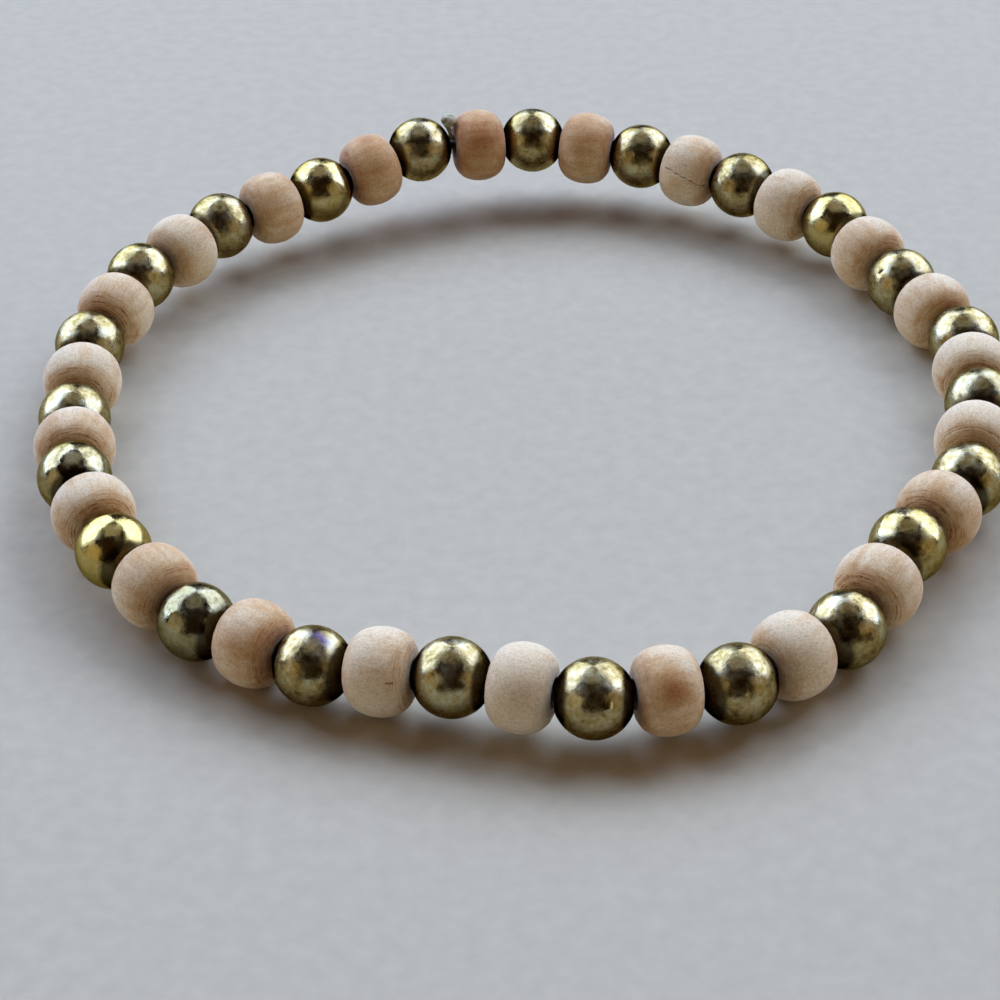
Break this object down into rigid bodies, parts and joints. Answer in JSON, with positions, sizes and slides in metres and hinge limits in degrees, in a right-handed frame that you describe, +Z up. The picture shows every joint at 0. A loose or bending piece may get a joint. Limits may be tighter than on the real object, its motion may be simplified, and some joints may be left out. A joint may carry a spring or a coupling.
{
  "type": "beaded stretch bracelet",
  "caption": "Stretch bracelet of small round brass-toned metal beads and turned wooden beads in turn on a clear elastic cord, lying as a loop.",
  "frame": {"origin": "on the surface the bracelet lies on, under the middle of its outer box seen from above", "axes": "+Z up from the surface along the wrist's direction through the loop, +Y towards the back of the loop where the knot sits, +X to the right"},
  "size_m": [0.0614, 0.0648, 0.0071],
  "materials": {
    "turned_wood": "unfinished, sanded, matte",
    "brass_tone_metal": "polished, worn and slightly tarnished plating",
    "elastic": "clear elastic cord, slightly cloudy"
  },
  "bodies": {
    "root": {"wood_bead_01": "turned_wood", "wood_bead_02": "turned_wood", "wood_bead_03": "turned_wood", "wood_bead_04": "turned_wood", "wood_bead_05": "turned_wood", "wood_bead_06": "turned_wood", "wood_bead_07": "turned_wood", "wood_bead_08": "turned_wood", "wood_bead_09": "turned_wood", "wood_bead_10": "turned_wood", "wood_bead_11": "turned_wood", "wood_bead_12": "turned_wood", "wood_bead_13": "turned_wood", "wood_bead_14": "turned_wood", "wood_bead_15": "turned_wood", "wood_bead_16": "turned_wood", "wood_bead_17": "turned_wood", "wood_bead_18": "turned_wood", "wood_bead_19": "turned_wood", "wood_bead_20": "turned_wood", "wood_bead_21": "turned_wood", "wood_bead_22": "turned_wood", "wood_bead_23": "turned_wood", "brass_bead_01": "brass_tone_metal", "brass_bead_02": "brass_tone_metal", "brass_bead_03": "brass_tone_metal", "brass_bead_04": "brass_tone_metal", "brass_bead_05": "brass_tone_metal", "brass_bead_06": "brass_tone_metal", "brass_bead_07": "brass_tone_metal", "brass_bead_08": "brass_tone_metal", "brass_bead_09": "brass_tone_metal", "brass_bead_10": "brass_tone_metal", "brass_bead_11": "brass_tone_metal", "brass_bead_12": "brass_tone_metal", "brass_bead_13": "brass_tone_metal", "brass_bead_14": "brass_tone_metal", "brass_bead_15": "brass_tone_metal", "brass_bead_16": "brass_tone_metal", "brass_bead_17": "brass_tone_metal", "brass_bead_18": "brass_tone_metal", "brass_bead_19": "brass_tone_metal", "brass_bead_20": "brass_tone_metal", "brass_bead_21": "brass_tone_metal", "brass_bead_22": "brass_tone_metal", "brass_bead_23": "brass_tone_metal", "stretch_cord": "elastic", "cord_knot": "elastic"}
  },
  "joints": []
}
